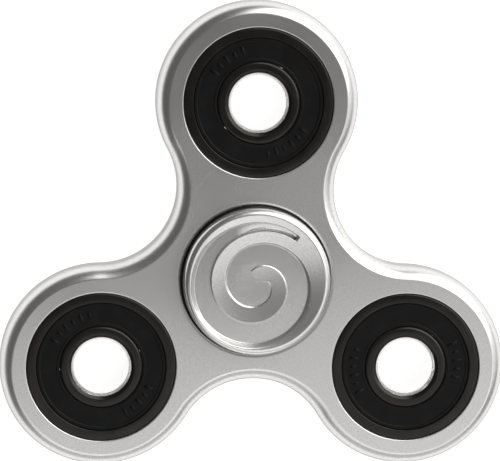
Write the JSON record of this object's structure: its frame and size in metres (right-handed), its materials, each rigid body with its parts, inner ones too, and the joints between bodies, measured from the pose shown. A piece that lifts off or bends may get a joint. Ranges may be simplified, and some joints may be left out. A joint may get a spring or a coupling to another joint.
{
  "type": "fidget spinner",
  "caption": "Three-armed finger spinner with silver body, black ball bearings in the arms, and round dished finger caps with a swirl groove on a central bearing.",
  "frame": {"origin": "centre of the spinner: on the spin axis, halfway between the two faces", "axes": "+Z along the spin axis towards the front cap, +Y through arm 1"},
  "size_m": [0.0748, 0.0687, 0.0126],
  "materials": {
    "body_paint": "satin metallic silver paint on moulded plastic",
    "cap_paint": "satin metallic silver paint on moulded plastic",
    "ring_steel": "black oxide on ground bearing steel",
    "seal_rubber": "satin moulded rubber on a steel washer",
    "cage": "moulded nylon",
    "ball_steel": "polished"
  },
  "bodies": {
    "hub": {"front_cap": "cap_paint", "back_cap": "cap_paint", "centre_inner_ring": "ring_steel"},
    "spinner": {"spinner_body": "body_paint", "centre_outer_ring": "ring_steel", "centre_front_seal": "seal_rubber", "centre_back_seal": "seal_rubber", "arm_1_outer_ring": "ring_steel", "arm_1_front_seal": "seal_rubber", "arm_1_back_seal": "seal_rubber", "arm_2_outer_ring": "ring_steel", "arm_2_front_seal": "seal_rubber", "arm_2_back_seal": "seal_rubber", "arm_3_outer_ring": "ring_steel", "arm_3_front_seal": "seal_rubber", "arm_3_back_seal": "seal_rubber"},
    "centre_ball_set": {"centre_cage": "cage", "centre_ball_1": "ball_steel", "centre_ball_2": "ball_steel", "centre_ball_3": "ball_steel", "centre_ball_4": "ball_steel", "centre_ball_5": "ball_steel", "centre_ball_6": "ball_steel", "centre_ball_7": "ball_steel"},
    "arm_1_inner": {"arm_1_inner_ring": "ring_steel"},
    "arm_1_ball_set": {"arm_1_cage": "cage", "arm_1_ball_1": "ball_steel", "arm_1_ball_2": "ball_steel", "arm_1_ball_3": "ball_steel", "arm_1_ball_4": "ball_steel", "arm_1_ball_5": "ball_steel", "arm_1_ball_6": "ball_steel", "arm_1_ball_7": "ball_steel"},
    "arm_2_inner": {"arm_2_inner_ring": "ring_steel"},
    "arm_2_ball_set": {"arm_2_cage": "cage", "arm_2_ball_1": "ball_steel", "arm_2_ball_2": "ball_steel", "arm_2_ball_3": "ball_steel", "arm_2_ball_4": "ball_steel", "arm_2_ball_5": "ball_steel", "arm_2_ball_6": "ball_steel", "arm_2_ball_7": "ball_steel"},
    "arm_3_inner": {"arm_3_inner_ring": "ring_steel"},
    "arm_3_ball_set": {"arm_3_cage": "cage", "arm_3_ball_1": "ball_steel", "arm_3_ball_2": "ball_steel", "arm_3_ball_3": "ball_steel", "arm_3_ball_4": "ball_steel", "arm_3_ball_5": "ball_steel", "arm_3_ball_6": "ball_steel", "arm_3_ball_7": "ball_steel"}
  },
  "joints": [
    {"name": "spin", "type": "hinge", "parent": "hub", "child": "spinner", "pos_m": [0, 0, 0], "axis": [0, 0, 1], "continuous": true},
    {"name": "centre_ball_orbit", "type": "hinge", "parent": "hub", "child": "centre_ball_set", "pos_m": [0, 0, 0], "axis": [0, 0, 1], "continuous": true},
    {"name": "arm_1_turn", "type": "hinge", "parent": "spinner", "child": "arm_1_inner", "pos_m": [0, 0.026, 0], "axis": [0, 0, 1], "continuous": true},
    {"name": "arm_1_ball_orbit", "type": "hinge", "parent": "spinner", "child": "arm_1_ball_set", "pos_m": [0, 0.026, 0], "axis": [0, 0, 1], "continuous": true},
    {"name": "arm_2_turn", "type": "hinge", "parent": "spinner", "child": "arm_2_inner", "pos_m": [-0.02252, -0.013, 0], "axis": [0, 0, 1], "continuous": true},
    {"name": "arm_2_ball_orbit", "type": "hinge", "parent": "spinner", "child": "arm_2_ball_set", "pos_m": [-0.02252, -0.013, 0], "axis": [0, 0, 1], "continuous": true},
    {"name": "arm_3_turn", "type": "hinge", "parent": "spinner", "child": "arm_3_inner", "pos_m": [0.02252, -0.013, 0], "axis": [0, 0, 1], "continuous": true},
    {"name": "arm_3_ball_orbit", "type": "hinge", "parent": "spinner", "child": "arm_3_ball_set", "pos_m": [0.02252, -0.013, 0], "axis": [0, 0, 1], "continuous": true}
  ],
  "couplings": [
    {"joint": "centre_ball_orbit", "follows": "spin", "ratio": 0.6323},
    {"joint": "arm_1_ball_orbit", "follows": "arm_1_turn", "ratio": 0.3677},
    {"joint": "arm_2_ball_orbit", "follows": "arm_2_turn", "ratio": 0.3677},
    {"joint": "arm_3_ball_orbit", "follows": "arm_3_turn", "ratio": 0.3677}
  ]
}
